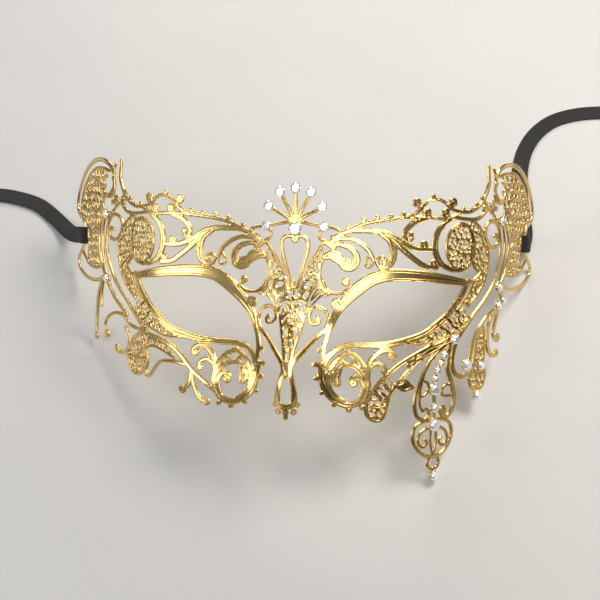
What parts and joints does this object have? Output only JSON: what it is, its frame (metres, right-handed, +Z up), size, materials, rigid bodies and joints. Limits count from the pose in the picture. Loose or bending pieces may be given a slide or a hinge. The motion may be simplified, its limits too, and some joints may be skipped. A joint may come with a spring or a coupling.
{
  "type": "venetian masquerade mask",
  "caption": "Half-face masquerade mask of thin pierced brass filigree bent round the face, with glued crystals, hanging drops on one cheek and black ribbon ties",
  "frame": {"origin": "on the surface it rests on, under the middle of the mask's own box, ribbons left out", "axes": "+Z up from the surface, +X to the right temple as a viewer in front sees it, -Y toward the chin; the face leans back"},
  "size_m": [0.444, 0.1845, 0.073],
  "materials": {
    "brass_sheet": "polished pierced sheet",
    "crystal": "faceted clear stone",
    "black_ribbon": "black grosgrain ribbon"
  },
  "bodies": {
    "root": {"eye_frame_left": "brass_sheet", "eye_frame_right": "brass_sheet", "centre_crest": "brass_sheet", "brow_scrolls_left": "brass_sheet", "brow_scrolls_right": "brass_sheet", "cheek_wheel_left": "brass_sheet", "cheek_wheel_right": "brass_sheet", "temple_left": "brass_sheet", "temple_right": "brass_sheet", "drop_main": "brass_sheet", "drop_second": "brass_sheet", "stone_fan_1": "crystal", "stone_fan_2": "crystal", "stone_fan_3": "crystal", "stone_fan_4": "crystal", "stone_fan_5": "crystal", "stone_fan_6": "crystal", "stone_fan_7": "crystal", "stone_fan_8": "crystal", "stone_temple_1": "crystal", "stone_temple_2": "crystal", "stone_temple_3": "crystal", "stone_temple_4": "crystal", "stone_temple_5": "crystal", "stone_temple_6": "crystal", "stone_drop_1": "crystal", "stone_drop_2": "crystal", "stone_drop_3": "crystal", "stone_drop_4": "crystal", "stone_drop_5": "crystal", "stone_drop_6": "crystal", "stone_drop_7": "crystal", "stone_drop_8": "crystal", "stone_drop_9": "crystal", "stone_drop_10": "crystal", "stone_drop_11": "crystal", "stone_drop_12": "crystal", "ribbon_loop_left": "black_ribbon", "ribbon_loop_right": "black_ribbon", "ribbon_left": "black_ribbon", "ribbon_right": "black_ribbon", "ribbon_roll_left": "black_ribbon", "ribbon_roll_right": "black_ribbon"}
  },
  "joints": []
}
